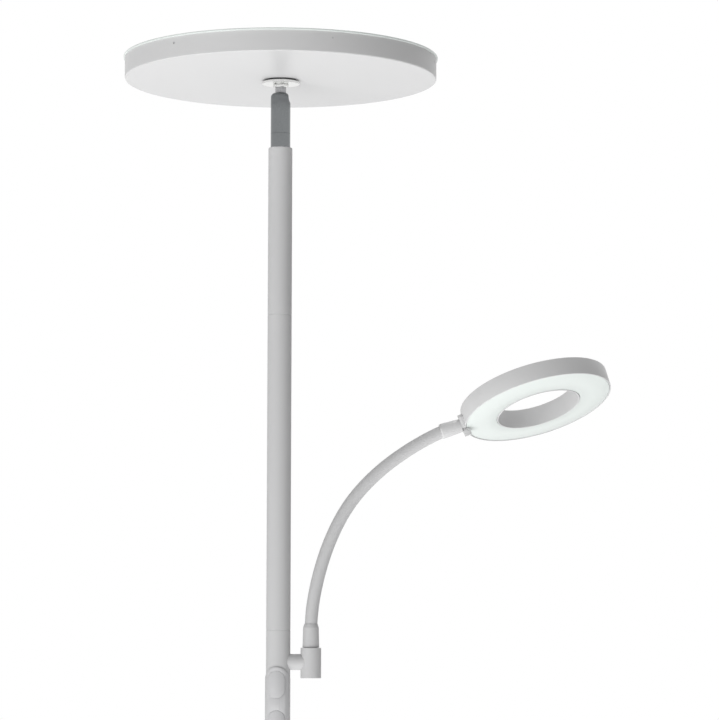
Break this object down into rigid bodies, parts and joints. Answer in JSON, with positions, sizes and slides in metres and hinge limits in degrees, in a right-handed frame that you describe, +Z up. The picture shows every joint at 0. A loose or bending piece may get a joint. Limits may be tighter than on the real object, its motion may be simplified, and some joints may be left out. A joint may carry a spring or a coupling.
{
  "type": "torchiere floor lamp with reading light",
  "caption": "Floor lamp: flat round uplight on a slotted ball joint, and a ring-shaped reading light on a gooseneck arm.",
  "frame": {"origin": "centre of the base pad's underside, on the floor under the pole", "axes": "+Z up along the pole, -Y towards the front with the buttons, +X along the reading arm"},
  "size_m": [0.4479, 0.2896, 1.8],
  "materials": {
    "silver_paint": "satin silver-grey",
    "painted_aluminium": "satin silver-grey paint",
    "joint_chrome": "polished",
    "steel": "plain",
    "cast_weight": "raw",
    "aluminium": "plain",
    "opal": "opal",
    "button_plastic": "satin silver-grey",
    "dark_plastic": "matt",
    "board": "satin",
    "pad_rubber": "matt"
  },
  "bodies": {
    "stand": {"base_pad": "pad_rubber", "base_weight": "cast_weight", "base_cover": "silver_paint", "base_collar": "silver_paint", "base_washer": "steel", "base_nut": "steel", "base_stud": "steel", "cord_grommet": "dark_plastic", "pole_foot_plug": "steel", "lower_tube_1": "silver_paint", "lower_tube_2": "silver_paint", "lower_tube_3": "silver_paint", "control_tube": "silver_paint", "middle_tube": "silver_paint", "upper_tube": "silver_paint", "tube_couplers": "steel", "pole_top_plug": "steel", "joint_collar": "joint_chrome", "control_bezel": "button_plastic", "control_board": "board", "tact_switches": "dark_plastic", "board_carrier": "dark_plastic", "arm_stub": "silver_paint", "arm_washer": "steel", "arm_nut": "steel", "arm_socket": "silver_paint"},
    "joint_cup": {"joint_housing": "joint_chrome", "housing_set_screw": "steel", "ball_seat": "dark_plastic", "disc_springs": "steel"},
    "uplight": {"head_stud": "joint_chrome", "lock_nut": "joint_chrome", "head_flange": "joint_chrome", "head_washer": "dark_plastic", "head_top_nut": "steel", "head_pan": "painted_aluminium", "head_diffuser": "opal", "diffuser_clip_screws": "steel", "heat_spreader": "aluminium", "head_led_board": "board", "head_board_screws": "steel"},
    "neck_1": {"neck_ferrule": "silver_paint", "swivel_washer": "steel", "swivel_screw": "steel", "gooseneck_link_1": "silver_paint"},
    "neck_2": {"gooseneck_link_2": "silver_paint"},
    "neck_3": {"gooseneck_link_3": "silver_paint"},
    "neck_4": {"gooseneck_link_4": "silver_paint"},
    "neck_5": {"gooseneck_link_5": "silver_paint"},
    "neck_6": {"gooseneck_link_6": "silver_paint"},
    "reading_light": {"gooseneck_link_7": "silver_paint", "ring_ferrule": "painted_aluminium", "ring_saddle": "painted_aluminium", "saddle_screws": "steel", "ring_housing": "painted_aluminium", "ring_diffuser": "opal", "ring_led_board": "board"},
    "up_button": {"button_up": "button_plastic"},
    "down_button": {"button_down": "button_plastic"}
  },
  "joints": [
    {"name": "head_swivel", "type": "hinge", "parent": "stand", "child": "joint_cup", "pos_m": [0, 0, 1.735], "axis": [0, 0, 1], "range_deg": [-175, 175]},
    {"name": "head_tilt", "type": "hinge", "parent": "joint_cup", "child": "uplight", "pos_m": [0, 0, 1.763], "axis": [0, 1, 0], "range_deg": [-8, 90]},
    {"name": "arm_swivel", "type": "hinge", "parent": "stand", "child": "neck_1", "pos_m": [0.0296, 0, 1.25], "axis": [0, 0, 1], "range_deg": [-130, 130]},
    {"name": "neck_bend", "type": "hinge", "parent": "neck_1", "child": "neck_2", "pos_m": [0.0328, 0, 1.3068], "axis": [0, 1, 0], "range_deg": [-6.5, 12]},
    {"name": "neck_bend_2", "type": "hinge", "parent": "neck_2", "child": "neck_3", "pos_m": [0.04144, 0, 1.34069], "axis": [0, 1, 0], "range_deg": [-6.5, 12]},
    {"name": "neck_bend_3", "type": "hinge", "parent": "neck_3", "child": "neck_4", "pos_m": [0.05498, 0, 1.37292], "axis": [0, 1, 0], "range_deg": [-6.5, 12]},
    {"name": "neck_bend_4", "type": "hinge", "parent": "neck_4", "child": "neck_5", "pos_m": [0.07476, 0, 1.4017], "axis": [0, 1, 0], "range_deg": [-6.5, 12]},
    {"name": "neck_bend_5", "type": "hinge", "parent": "neck_5", "child": "neck_6", "pos_m": [0.10028, 0, 1.42558], "axis": [0, 1, 0], "range_deg": [-6.5, 12]},
    {"name": "neck_bend_6", "type": "hinge", "parent": "neck_6", "child": "reading_light", "pos_m": [0.12936, 0, 1.44501], "axis": [0, 1, 0], "range_deg": [-6.5, 12]},
    {"name": "up_button_press", "type": "slide", "parent": "stand", "child": "up_button", "axis": [0.1219, 0.9925, 0], "range_m": [0, 0.0008], "stiffness_N_per_m": 1500, "springref_m": -0.0008},
    {"name": "down_button_press", "type": "slide", "parent": "stand", "child": "down_button", "axis": [0.1219, 0.9925, 0], "range_m": [0, 0.0008], "stiffness_N_per_m": 1500, "springref_m": -0.0008}
  ],
  "couplings": [
    {"joint": "neck_bend_2", "follows": "neck_bend", "ratio": 1},
    {"joint": "neck_bend_3", "follows": "neck_bend", "ratio": 1},
    {"joint": "neck_bend_4", "follows": "neck_bend", "ratio": 1},
    {"joint": "neck_bend_5", "follows": "neck_bend", "ratio": 1},
    {"joint": "neck_bend_6", "follows": "neck_bend", "ratio": 1}
  ]
}
